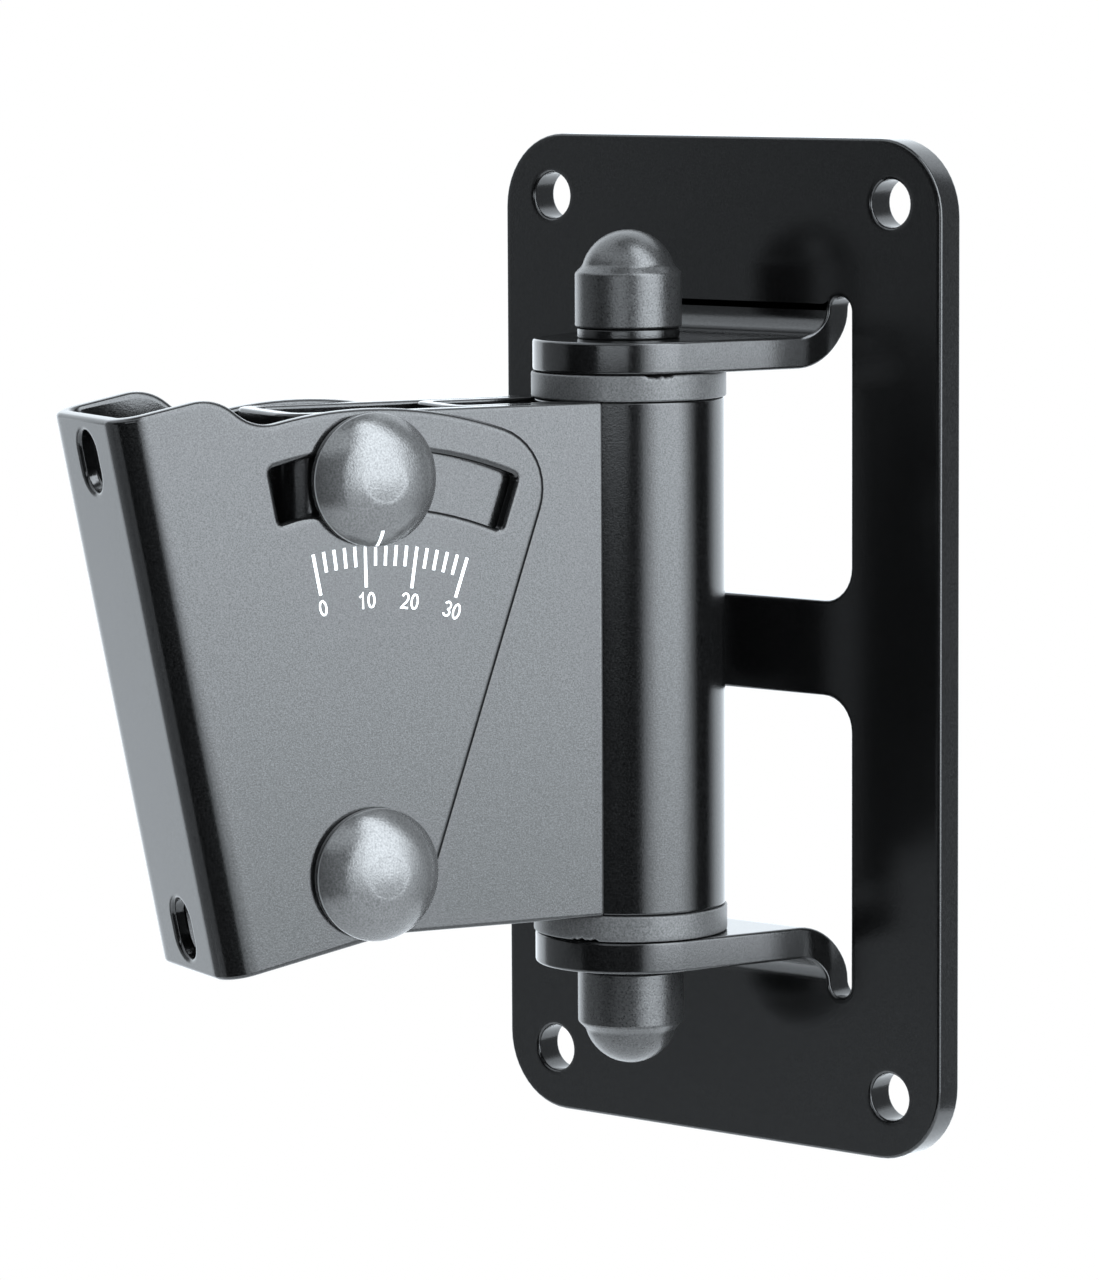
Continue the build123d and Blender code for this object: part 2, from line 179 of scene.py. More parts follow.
class StudioSettings(bpy.types.PropertyGroup):
    """Camera, floor and lights."""

    azimuth: angle("Azimuth", "Camera turned from straight in front towards +X", 41.75)
    elevation: angle("Elevation", "Camera above level", 6.14)
    roll: angle("Roll", "Camera turned about its own view", -0.29)
    distance: size("Distance", "Target to camera", 988.5)
    target: bpy.props.FloatVectorProperty(
        name="Target", description="Point in the middle of the picture", subtype="TRANSLATION",
        default=(-0.03594, -0.005, -0.00261), unit="LENGTH", precision=5,
    )
    lens: amount("Lens", "Focal length in millimetres on a 36 mm high sensor", 170.0)
    floor_depth: size("Floor depth", "Floor below the bracket's middle", 800.0)
    floor_half: size("Floor half", "Half the floor's side", 1200.0)
    strip_azimuth: angle("Strip azimuth", "Strip light turned from straight in front towards +X", 22.0)
    strip_elevation: angle("Strip elevation", "Strip light above level", 6.4)
    strip_distance: size("Strip distance", "Wall plate's middle to the strip light", 600.0)
    strip_width: size("Strip width", "Width of the strip light", 260.0)
    strip_height: size("Strip height", "Height of the strip light", 120.0)
    strip_power: amount("Strip power", "Power of the strip light", 1.25)
    surround: amount("Surround", "Brightness of the white surround", 2.1)


SETTINGS = {
    "bracket_pose": PoseSettings,
    "bracket_plate": PlateSettings,
    "bracket_arm": ArmSettings,
    "bracket_channel": ChannelSettings,
    "bracket_scale": ScaleSettings,
    "bracket_finish": FinishSettings,
    "bracket_studio": StudioSettings,
}


# Frames of the swung arm and the tilted channel: x outwards, y along the cross bolts, z up

def shift(x=0, y=0, z=0):
    """Move along the axes."""
    return Matrix.Translation((x, y, z))


def arm_frame(scene):
    """Frame on the upright bolt's axis, half way up the barrel."""
    pose = scene.bracket_pose
    return shift(y=-pose.barrel_y) @ Matrix.Rotation(-pose.swing - QUARTER, 4, "Z")


def pivot_frame(scene):
    """Frame on the lower cross bolt, standing level."""
    pose = scene.bracket_pose
    return arm_frame(scene) @ shift(pose.bolt_reach, 0, -pose.bolt_spacing / 2)


def clamp_frame(scene):
    """Frame on the upper cross bolt, standing level."""
    return pivot_frame(scene) @ shift(z=scene.bracket_pose.bolt_spacing)


def channel_frame(scene):
    """Frame on the lower cross bolt, leaned forward with the channel."""
    return pivot_frame(scene) @ Matrix.Rotation(scene.bracket_pose.tilt, 4, "Y")


# Bench tools for bmesh work

def spin(bm, geom, angle, steps, cent=(0, 0, 0), axis=UP, climb=0.0, merge=False):
    """Draws geometry about an axis in even steps, each of which may climb."""
    return bmesh.ops.spin(
        bm, geom=geom, cent=cent, axis=axis, dvec=UP * climb, angle=angle, space=Matrix.Identity(4),
        steps=steps, use_merge=merge, use_duplicate=False,
    )


def trace(bm, start, moves):
    """Draws edges in the XZ plane: (x, z) is a point, (centre x, centre z, angle, steps) is an arc."""
    chain = [bm.verts.new((start[0], 0, start[1]))]
    for x, z, *arc in moves:
        if not arc:
            chain.append(bm.verts.new((x, 0, z)))
            bm.edges.new(chain[-2:])
            continue
        turn, steps = arc
        for _ in range(steps):
            made = spin(bm, [chain[-1]], turn / steps, 1, (x, 0, z), (0, -1, 0))
            chain += [item for item in made["geom_last"] if isinstance(item, bmesh.types.BMVert)]
    return chain


def loop(bm, start, moves):
    """Draws a closed line of edges."""
    chain = trace(bm, start, moves)
    gap = (chain[0].co - chain[-1].co).length
    if gap > 1e-7:
        bm.edges.new((chain[-1], chain[0]))
    else:
        bmesh.ops.weld_verts(bm, targetmap={chain[-1]: chain[0]})
        chain.pop()
    return chain


def rectangle(bm, left, right, low, high):
    """Draws a rectangle in the XZ plane."""
    return loop(bm, (left, low), [(right, low), (right, high), (left, high)])


def ring(bm, x, z, radius, steps):
    """Draws a circle in the XZ plane."""
    bmesh.ops.create_circle(
        bm, cap_ends=False, segments=steps, radius=radius,
        matrix=shift(x, 0, z) @ Matrix.Rotation(QUARTER, 4, "X"),
    )


def round_corner(bm, verts, radius, steps):
    """Rounds square corners of loops by radius."""
    bmesh.ops.bevel(
        bm, geom=verts, offset=radius, offset_type="OFFSET", segments=steps, profile=0.5,
        affect="VERTICES", material=-1, clamp_overlap=False,
    )


def fill(bm):
    """Fills all loops into one flat sheet with holes, with a 1 mm band of even width along its rims."""
    bmesh.ops.remove_doubles(bm, verts=bm.verts, dist=1e-6)
    bmesh.ops.triangle_fill(bm, use_beauty=True, use_dissolve=False, edges=bm.edges[:], normal=(0, -1, 0))
    band = bmesh.ops.inset_region(bm, faces=bm.faces[:], use_boundary=True, thickness=1.0 * MM)
    inner = [face for face in bm.faces if face not in set(band["faces"])]
    outer_rims = {edge for edge in bm.edges if edge.is_boundary}
    bmesh.ops.delete(bm, geom=inner, context="FACES")
    inner_rims = [edge for edge in bm.edges if edge.is_boundary and edge not in outer_rims]
    bmesh.ops.triangle_fill(bm, use_beauty=True, use_dissolve=False, edges=inner_rims, normal=(0, -1, 0))


def place(bm, matrix):
    """Moves all of a bmesh."""
    bmesh.ops.transform(bm, matrix=matrix, space=Matrix.Identity(4), verts=bm.verts)


def merged(parts):
    """One bmesh from several, with their shared rims welded."""
    whole = bmesh.new()
    for part in parts:
        lump = bpy.data.meshes.new("part")
        part.to_mesh(lump)
        part.free()
        whole.from_mesh(lump)
        bpy.data.meshes.remove(lump)
    bmesh.ops.remove_doubles(whole, verts=whole.verts, dist=2e-6)
    return whole


def face_along(bm, spot, direction):
    """Turns a sheet's faces so that the face nearest to spot looks along direction."""
    bmesh.ops.recalc_face_normals(bm, faces=bm.faces)
    nearest = min(bm.faces, key=lambda face: (face.calc_center_median() - Vector(spot)).length)
    if nearest.normal.dot(Vector(direction)) < 0:
        bmesh.ops.reverse_faces(bm, faces=bm.faces)


def lathe(start, moves, steps=72):
    """Turned solid from a traced profile, x being the radius."""
    bm = bmesh.new()
    chain = trace(bm, start, moves)
    spin(bm, chain + bm.edges[:], math.tau, steps, merge=True)
    bmesh.ops.remove_doubles(bm, verts=bm.verts, dist=1e-7)
    bmesh.ops.recalc_face_normals(bm, faces=bm.faces)
    return bm


def ring_shape(inner, outer, low, high, steps=64):
    """Plain turned ring."""
    return lathe((inner, low), [(outer, low), (outer, high), (inner, high), (inner, low)], steps=steps)


def bend(x, y, low, high, radius, start, sweep, steps=10):
    """Quarter-round skin of a fold about an upright line through x, y."""
    bm = bmesh.new()
    turn = Matrix.Rotation(start, 4, "Z")
    foot = Vector((x, y, 0)) + turn @ Vector((radius, 0, 0))
    ends = [bm.verts.new(foot + UP * low), bm.verts.new(foot + UP * high)]
    edge = bm.edges.new(ends)
    spin(bm, ends + [edge], sweep, steps, (x, y, 0))
    return bm


def folded(sides, web, half, reach, radius, low, high):
    """Outer skin of an upright channel from its flat sides and web, with the two bends between them."""
    for side, flat in zip((1, -1), sides):
        place(flat, shift(y=side * half))
    place(web, shift(reach) @ Matrix.Rotation(QUARTER, 4, "Z"))
    bends = [
        bend(reach - radius, side * (half - radius), low, high, radius, side * QUARTER, -side * QUARTER)
        for side in (1, -1)
    ]
    whole = merged([*sides, *bends, web])
    face_along(whole, (reach, 0, (low + high) / 2), (1, 0, 0))
    return whole


def rub(bm, level):
    """Paints a pale highlight onto the rim at a height, strongest on its lower outer side."""
    layer = bm.verts.layers.float.new("highlight_amount")
    brightest_side = Vector((1, 1, 0)).normalized()
    for vert in bm.verts:
        if abs(vert.co.z - level) < 0.01 * MM:
            vert[layer] = max(0.15, vert.co.dot(brightest_side) / vert.co.xy.length)


def new_object(name, bm, finish):
    """Object from a bmesh, in one finish."""
    mesh = bpy.data.meshes.new(name)
    bm.to_mesh(mesh)
    bm.free()
    mesh.materials.append(finish_material(bpy.context.scene, finish))
    made = bpy.data.objects.new(name, mesh)
    bpy.context.scene.collection.objects.link(made)
    return made


def finish_piece(name, bm, matrix, body, slot, finish, nodes=(), sheet=0, edge=0, edge_steps=3, limit=35):
    """Makes the object, gives it its sheet, rounded rims and clean shading, and hangs it on its body."""
    place(bm, matrix)
    piece = new_object(name, bm, finish)
    piece.data.shade_smooth()
    if sheet:
        shell = piece.modifiers.new("Sheet", "SOLIDIFY")
        shell.thickness, shell.offset, shell.use_even_offset = sheet, -1, True
    if edge:
        rims = piece.modifiers.new("Rims", "BEVEL")
        rims.width, rims.segments, rims.use_clamp_overlap = edge, edge_steps, False
        rims.limit_method, rims.angle_limit = "ANGLE", math.radians(limit)
    shading = piece.modifiers.new("Shading", "WEIGHTED_NORMAL")
    shading.weight, shading.keep_sharp = 60, True
    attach(piece, body)
    if nodes:
        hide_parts(*nodes)


def dress(node, bm, matrix, body, slot, finish=None, **rims):
    """Makes the piece that stands in for a node, in the finish of its slot unless told otherwise."""
    finish_piece(node + "_dressed", bm, matrix, body, slot, finish or slot, [node], **rims)


# Finishes

def add_node(tree, kind, output, inputs=(), **settings):
    """Adds a node, feeds its inputs from sockets or plain values and gives one of its outputs."""
    node = tree.nodes.new(kind)
    for name, value in settings.items():
        setattr(node, name, value)
    for key, value in dict(inputs).items():
        if isinstance(value, bpy.types.NodeSocket):
            tree.links.new(value, node.inputs[key])
        else:
            node.inputs[key].default_value = value
    return node.outputs[output]


def maths(tree, operation, *given):
    """Maths node fed by sockets or plain numbers."""
    return add_node(tree, "ShaderNodeMath", 0, enumerate(given), operation=operation)


def ramp(tree, value, low, high, bottom=0.0, top=1.0, kind="LINEAR"):
    """Value that goes from bottom to top while the given one goes from low to high."""
    given = {"Value": value, "From Min": low, "From Max": high, "To Min": bottom, "To Max": top}
    return add_node(tree, "ShaderNodeMapRange", "Result", given, interpolation_type=kind)


def mixed(tree, factor, first, second, **settings):
    """Mix of two numbers or colours."""
    given = {"Factor": factor, "A": first, "B": second}
    return add_node(tree, "ShaderNodeMix", "Result", given, **settings)


def noise(tree, scale, detail):
    """Noise that is fixed to the piece."""
    spot = add_node(tree, "ShaderNodeTexCoord", "Object")
    return add_node(tree, "ShaderNodeTexNoise", "Fac", {"Vector": spot, "Scale": scale, "Detail": detail})


GRAIN_INPUTS = (("Grain size", 0.00035), ("Roughness", 0.25), ("Roughness spread", 0.05), ("Drift", 0.03))
GRAIN_DETAIL, DRIFT_SCALE, DRIFT_DETAIL = 2.0, 60.0, 3.0
# Pale grey of the painted highlight on the cup heads' rims
RIM_HIGHLIGHT_GREY = (0.42, 0.42, 0.42, 1)


def grain_group():
    """Fine powder grain: a height for the bump and a slightly varied roughness."""
    group = bpy.data.node_groups.get("Fine grain")
    if group:
        return group
    group = bpy.data.node_groups.new("Fine grain", "ShaderNodeTree")
    for label, default in GRAIN_INPUTS:
        socket = group.interface.new_socket(label, in_out="INPUT", socket_type="NodeSocketFloat")
        socket.default_value = default
    for label in ("Height", "Roughness"):
        group.interface.new_socket(label, in_out="OUTPUT", socket_type="NodeSocketFloat")
    given = group.nodes.new("NodeGroupInput").outputs
    out = group.nodes.new("NodeGroupOutput").inputs
    fine = noise(group, maths(group, "DIVIDE", 1.0, given["Grain size"]), GRAIN_DETAIL)
    broad = noise(group, DRIFT_SCALE, DRIFT_DETAIL)
    rough = given["Roughness"]
    for pattern, reach in ((fine, "Roughness spread"), (broad, "Drift")):
        rough = maths(group, "MULTIPLY_ADD", maths(group, "SUBTRACT", pattern, 0.5), given[reach], rough)
    group.links.new(fine, out["Height"])
    group.links.new(rough, out["Roughness"])
    return group


def finish_table(scene):
    """Every finish: name, base colour, darkest and lightest tone as shares of it, roughness and its spread,
    size and depth of the grain, gloss and its spread, slow drift of the roughness."""
    look, ink, pale = scene.bracket_finish, scene.bracket_scale.ink, (0.86, 0.86, 0.86)
    coat, cap, bolt = look.coat, look.cap, look.bolt
    rough, grain = look.coat_roughness, look.coat_grain
    return {
        "black_coat": ("Satin black coat", coat, 0.1, 2.2, rough, 0.08, 0.00024, grain, 0.5, 0.12, 0.03),
        "bush_plastic": ("Matt bush plastic", look.bush, 0.75, 1.25, 0.4, 0.2, 0.0003, 0.08, 0.5, 0.2, 0.03),
        "cap_plastic": ("Speckled cap plastic", cap, 0.75, 1.35, 0.3, 0.2, 0.0003, 0.1, 0.65, 0.25, 0.03),
        "black_bolt": ("Blackened bolt steel", bolt, 0.75, 1.3, 0.22, 0.15, 0.0003, 0.1, 0.85, 0.25, 0.1),
        "washer_steel": ("Dark washer steel", coat, 0.1, 2.2, 0.2, 0.1, 0.0003, 0.1, 0.5, 0.0, 0.03),
        "nylon": ("Pale nylon", look.nylon, 0.9, 1.1, 0.45, 0.1, 0.0006, 0.1, 0.5, 0.0, 0.03),
        "ink": ("White ink", ink, 0.92, 1.05, 0.5, 0.1, 0.0003, 0.05, 0.5, 0.0, 0.03),
        "floor": ("Pale floor", pale, 0.99, 1.01, 0.7, 0.02, 0.002, 0.0, 0.5, 0.0, 0.03),
    }


def finish_material(scene, finish):
    """Material whose tone, roughness and bump come from the grain group, and whose gloss may sparkle."""
    name, base, dark, light, *given = finish_table(scene)[finish]
    roughness, spread, grain, depth, gloss, sparkle, drift = given
    material = bpy.data.materials.get(name)
    if material:
        return material
    material = bpy.data.materials.new(name)
    material.use_nodes = True
    tree = material.node_tree
    effect = tree.nodes.new("ShaderNodeGroup")
    effect.node_tree = grain_group()
    for (label, _), value in zip(GRAIN_INPUTS, (grain, roughness, spread, drift)):
        effect.inputs[label].default_value = value
    height = effect.outputs["Height"]
    tones = [[channel * factor for channel in base] + [1] for factor in (dark, light)]
    tone = mixed(tree, ramp(tree, height, 0.3, 0.7), *tones, data_type="RGBA")
    # Painted highlight: where a piece's rim is marked, a pale grey is mixed into the base colour
    highlight_amount = add_node(tree, "ShaderNodeAttribute", "Fac", attribute_name="highlight_amount")
    bump = {"Strength": depth, "Distance": grain, "Height": height}
    fed = {
        "Base Color": mixed(tree, highlight_amount, tone, RIM_HIGHLIGHT_GREY, data_type="RGBA"),
        "Roughness": effect.outputs["Roughness"],
        "Normal": add_node(tree, "ShaderNodeBump", "Normal", bump),
    }
    shader = tree.nodes["Principled BSDF"].inputs
    shader["Specular IOR Level"].default_value = gloss
    if sparkle:
        specks = noise(tree, 1 / grain, GRAIN_DETAIL)
        fed["Specular IOR Level"] = ramp(tree, specks, 0.25, 0.75, gloss - sparkle, gloss + sparkle)
    for label, socket in fed.items():
        tree.links.new(socket, shader[label])
    return material


# Wall plate

def plate_skin(look):
    """Front skin of the flat plate with its windows, notches and screw holes."""
    bm = bmesh.new()
    half_x, half_z = look.width / 2, look.height / 2
    outline = rectangle(bm, -half_x, half_x, -half_z, half_z)
    root = look.window_half - look.relief
    level = look.ear_top + look.bend
    notch_x = look.window_half - look.relief / 2
    bar_corners = []
    for side in (-1, 1):
        window = loop(bm, (-look.window_half, side * look.bar_half), [
            (look.window_half, side * look.bar_half),
            (look.window_half, side * level),
            (notch_x, side * level, side * math.pi, 16),
            (-root, side * level),
            (-notch_x, side * level, side * math.pi, 16),
        ])
        bar_corners += window[:2]
    round_corner(bm, outline, look.corner, 12)
    round_corner(bm, bar_corners, look.window_corner, 8)
    for column in (-1, 1):
        for row in (-1, 1):
            ring(bm, column * look.hole_columns / 2, row * look.hole_rows / 2, look.hole / 2, 36)
    fill(bm)
    place(bm, shift(y=-look.sheet))
    return bm


def ear_skin(look, barrel_y):
    """Outer face of an ear, flared from its round end to its root, with its bend from the plate."""
    flat = bmesh.new()
    start = look.sheet + look.bend
    run = (look.bend + look.sheet / 2) * QUARTER
    root = look.window_half - look.relief
    inset = root - look.shoulder
    reach = barrel_y - start + run
    # Angle at which the straight flank touches the rounds at its two ends
    spoke = math.acos((look.ear_half - look.shoulder) / math.hypot(inset, reach)) - math.atan2(reach, inset)

    def half_width(rise):
        """Half the ear's width at a distance from its root, measured along the sheet."""
        if rise < look.shoulder * math.sin(spoke):
            return inset + math.sqrt(look.shoulder**2 - rise**2)
        return inset + (look.shoulder - rise * math.sin(spoke)) / math.cos(spoke)

    neck = half_width(run)
    loop(flat, (neck, start), [
        (look.ear_half * math.cos(spoke), barrel_y + look.ear_half * math.sin(spoke)),
        (0, barrel_y, math.pi - 2 * spoke, 36),
        (-neck, start),
    ])
    ring(flat, 0, barrel_y, BOLT_HOLE, 32)
    fill(flat)
    place(flat, shift(z=look.ear_top) @ Matrix.Rotation(QUARTER, 4, "X"))
    fold = bend(start, look.ear_top + look.bend, -root, root, look.bend, math.pi, QUARTER, 12)
    place(fold, Matrix(((0, 0, 1, 0), (-1, 0, 0, 0), (0, 1, 0, 0), (0, 0, 0, 1))))
    for vert in fold.verts:
        turned = math.atan2(vert.co.y + start, look.ear_top + look.bend - vert.co.z)
        vert.co.x *= half_width(run * (1 - turned / QUARTER)) / root
    return merged([flat, fold])


class BRACKET_OT_wall_plate(bpy.types.Operator):
    """Builds the wall plate with its two bent ears"""

    bl_idname = "bracket.wall_plate"
    bl_label = "Wall plate"

    def execute(self, context):
        scene = context.scene
        look = scene.bracket_plate
        upper = ear_skin(look, scene.bracket_pose.barrel_y)
        lower = ear_skin(look, scene.bracket_pose.barrel_y)
        place(lower, Matrix.Diagonal((1, 1, -1, 1)))
        bm = merged([plate_skin(look), upper, lower])
        face_along(bm, (0, -look.sheet, 0), (0, -1, 0))
        rims = {"sheet": look.sheet, "edge": look.edge}
        dress("wall_plate", bm, Matrix.Identity(4), "wall_side", "black_coat", **rims)
        return {"FINISHED"}


# Barrel, bushes and arm

BUSH_SLEEVE, BUSH_FLANGE, BUSH_OVERHANG = 12.0 * MM, 4.0 * MM, 0.25 * MM

# Height of the band that the chips lie in, and the chips in the bushes' outer edges: angle in degrees,
# depth inwards and downwards in millimetres
CHIP_BAND = 0.9 * MM
BUSH_CHIPS = {
    "upper_bush": (
        (73.1, 0.1, 0.15), (75.0, 0.3, 0.4), (76.9, 0.15, 0.2), (78.8, 0.35, 0.5), (80.6, 0.1, 0.25),
        (84.4, 0.3, 0.45), (86.3, 0.15, 0.2), (88.1, 0.25, 0.35),
    ),
    "lower_bush": (
        (318.8, 0.15, 0.2), (320.6, 0.3, 0.4), (324.4, 0.2, 0.25), (328.1, 0.3, 0.4), (330.0, 0.15, 0.2),
        (333.8, 0.2, 0.3),
    ),
}


def chip(bm, chips):
    """Breaks small chips out of the highest outer edge of a turned piece."""
    top = max(vert.co.z for vert in bm.verts)
    reach = max(vert.co.xy.length for vert in bm.verts)
    near = 0.01 * MM
    edge = [vert for vert in bm.verts if vert.co.z > top - near and vert.co.xy.length > reach - near]
    for turn, inward, down in chips:
        spot = Vector((math.cos(math.radians(turn)), math.sin(math.radians(turn)))) * reach
        nearest = min(edge, key=lambda vert: (vert.co.xy - spot).length)
        nearest.co.xy *= 1 - inward * MM / reach
        nearest.co.z -= down * MM


class BRACKET_OT_barrel(bpy.types.Operator):
    """Builds the barrel tube and its two flanged bushes"""

    bl_idname = "bracket.barrel"
    bl_label = "Barrel and bushes"

    def execute(self, context):
        scene = context.scene
        look = scene.bracket_arm
        inner, top = look.barrel_radius - look.barrel_wall, look.half_height
        tube = ring_shape(inner, look.barrel_radius, -top, top, steps=120)
        base = arm_frame(scene)
        dress("barrel_tube", tube, base, "arm", "black_coat", edge=look.edge, limit=40)
        sleeve, outer = inner - FIT, look.barrel_radius + BUSH_OVERHANG
        for name, side, flip in (("upper_bush", 1, 0), ("lower_bush", -1, math.pi)):
            bush = lathe((look.hole, -BUSH_SLEEVE), [
                (sleeve, -BUSH_SLEEVE),
                (sleeve, 0),
                (outer, 0),
                (outer, BUSH_FLANGE - CHIP_BAND),
                (outer, BUSH_FLANGE),
                (look.hole, BUSH_FLANGE),
                (look.hole, -BUSH_SLEEVE),
            ], steps=192)
            chip(bush, BUSH_CHIPS[name])
            seat = base @ shift(z=side * top) @ Matrix.Rotation(flip, 4, "X")
            dress(name, bush, seat, "arm", "bush_plastic", edge=0.3 * MM, limit=40)
        return {"FINISHED"}


def arm_skin(look, half, reach, radius, holes=()):
    """Outer skin of one of the arm's two channels, from the barrel's surface out."""
    start = math.sqrt(look.barrel_radius**2 - half**2) + FIT
    low, high = -look.half_height, look.half_height
    sides = [bmesh.new(), bmesh.new()]
    for flat in sides:
        rectangle(flat, start, reach - radius, low, high)
        for x, z in holes:
            ring(flat, x, z, look.hole, 32)
        fill(flat)
    web = bmesh.new()
    rectangle(web, radius - half, half - radius, low, high)
    fill(web)
    return folded(sides, web, half, reach, radius, low, high)


class BRACKET_OT_arm(bpy.types.Operator):
    """Builds the folded arm and the brace inside it"""

    bl_idname = "bracket.arm"
    bl_label = "Arm"

    def execute(self, context):
        scene = context.scene
        look, pose = scene.bracket_arm, scene.bracket_pose
        holes = [(pose.bolt_reach, side * pose.bolt_spacing / 2) for side in (-1, 1)]
        base = arm_frame(scene)
        shell = arm_skin(look, look.half_width, look.reach, look.bend, holes)
        dress("arm_shell", shell, base, "arm", "black_coat", sheet=look.sheet, edge=look.edge)
        brace = arm_skin(look, look.half_width - look.sheet, look.brace_reach, look.brace_bend)
        rims = {"sheet": look.brace_sheet, "edge": look.edge * 0.8}
        dress("arm_brace", brace, base, "arm", "black_coat", **rims)
        return {"FINISHED"}


# Speaker channel

def channel_side(look, pose, square):
    """One side of the channel, drawn upright about the lower bolt."""
    bm = bmesh.new()
    bend_start = look.web - look.bend
    limit = pose.tilt_limit
    rear = Vector((-math.cos(limit), -math.sin(limit))) * look.margin
    corner = Vector((-math.sin(limit), math.cos(limit))) * (look.arc - look.margin)
    foot = Vector((look.hump_x - look.hump_run, math.sqrt(look.arc**2 - (look.hump_x - look.hump_run) ** 2)))
    slope = (Vector((look.hump_x, look.top)) - foot).normalized()
    rise = math.atan2(slope.y, slope.x)
    above = Vector((-slope.y, slope.x))
    level = above.dot(foot) + look.hump_round
    hollow = above * level + slope * math.sqrt((look.arc + look.hump_round) ** 2 - level**2)
    lean = QUARTER - math.atan2(hollow.y, hollow.x)
    crest = look.hump_x + look.hump_round * math.tan(rise / 2)
    crest_foot = Vector((crest, look.top - look.hump_round)) + above * look.hump_round
    loop(bm, (bend_start, -look.margin), [
        (0, -look.margin),
        (0, 0, limit - QUARTER, 10),
        corner + rear,
        (*corner, -QUARTER, 10),
        (0, 0, -(limit + lean), 18),
        (*hollow, rise + lean, 8),
        crest_foot,
        (crest, look.top - look.hump_round, -rise, 8),
        (bend_start, look.top),
    ])
    inner, outer = pose.bolt_spacing - look.slot_half, pose.bolt_spacing + look.slot_half
    first_outer = math.acos(look.slot_half / outer)
    first_inner = math.acos(look.slot_half / inner)
    last = math.pi + limit - first_inner
    steps = 14
    slot = loop(bm, (look.slot_half, inner * math.sin(first_inner)), [
        (look.slot_half, outer * math.sin(first_outer)),
        (0, 0, math.pi + limit - 2 * first_outer, steps),
        (inner * math.cos(last), inner * math.sin(last)),
        (0, 0, 2 * first_inner - math.pi - limit, steps),
    ])
    round_corner(bm, slot[:2] + slot[steps + 1:steps + 3], look.slot_corner, 3)
    if square:
        rectangle(bm, -BOLT_HOLE, BOLT_HOLE, -BOLT_HOLE, BOLT_HOLE)
    else:
        ring(bm, 0, 0, BOLT_HOLE, 32)
    fill(bm)
    return bm


class BRACKET_OT_channel(bpy.types.Operator):
    """Builds the folded speaker channel with its curved slots and screw slots"""

    bl_idname = "bracket.channel"
    bl_label = "Speaker channel"

    def execute(self, context):
        scene = context.scene
        look, pose = scene.bracket_channel, scene.bracket_pose
        sides = [channel_side(look, pose, square) for square in (True, False)]
        inset = look.half_width - look.bend
        web = bmesh.new()
        rectangle(web, -inset, inset, -look.margin, look.top)
        middle = (look.top - look.margin) / 2
        run = (look.screw_far - look.screw_near) / 4
        for side in (-1, 1):
            centre = middle + side * (look.screw_far + look.screw_near) / 4
            loop(web, (look.screw_half, centre - run), [
                (look.screw_half, centre + run),
                (0, centre + run, math.pi, 12),
                (-look.screw_half, centre - run),
                (0, centre - run, math.pi, 12),
            ])
        fill(web)
        bm = folded(sides, web, look.half_width, look.web, look.bend, -look.margin, look.top)
        rims = {"sheet": look.sheet, "edge": look.edge}
        dress("speaker_channel", bm, channel_frame(scene), "channel", "black_coat", **rims)
        return {"FINISHED"}


def arc_path(x, z, across, upright, start, end, steps=12):
    """Points along an ellipse's arc, angles in degrees."""
    turns = [math.radians(start + (end - start) * step / steps) for step in range(steps + 1)]
    return [(x + across * math.cos(turn), z + upright * math.sin(turn)) for turn in turns]


# Middle lines of the printed digits, one unit tall, and their pitch and line width in the same unit
DIGIT_STEP = 0.64
DIGIT_LINE = 0.12
DIGITS = {
    "0": [arc_path(0, 0.5, 0.205, 0.43, 0, 360, 28)],
    "1": [[(-0.15, 0.72), (-0.02, 0.8), (0.075, 0.94), (0.075, 0)]],
    "2": [[
        *arc_path(0, 0.7, 0.205, 0.23, 165, -30), (0.09, 0.42), (-0.1, 0.23), (-0.2, 0.07), (0.24, 0.07),
    ]],
    "3": [arc_path(0, 0.705, 0.19, 0.225, 160, -90, 14), arc_path(0, 0.275, 0.21, 0.205, 90, -160, 14)],
}


def bridge(bm, rails):
    """Faces between pairs of points that follow each other."""
    for first, second in zip(rails, rails[1:]):
        bm.faces.new((*first, *reversed(second)))


def ribbon(bm, path, width, matrix):
    """Flat line of even width along a path of (x, z) points."""
    points = [Vector(point) for point in path]
    ways = [(second - first).normalized() for first, second in zip(points, points[1:])]
    closed = (points[0] - points[-1]).length < 1e-6
    before, after = (ways[-1], ways[0]) if closed else (ways[0], ways[-1])
    rails = []
    for point, arriving, leaving in zip(points, [before, *ways], [*ways, after]):
        across = (arriving + leaving).normalized().orthogonal()
        slant = max(0.5, across.dot(arriving.orthogonal()))
        reach = across * width / 2 / slant
        rails.append([bm.verts.new(matrix @ spot.to_3d().xzy) for spot in (point + reach, point - reach)])
    bridge(bm, rails)


# Ink over the bare sheet, and the pointer's width as a share of a printed line
PRINT_GAP = 0.015 * MM
POINTER_SHARE = 1.1


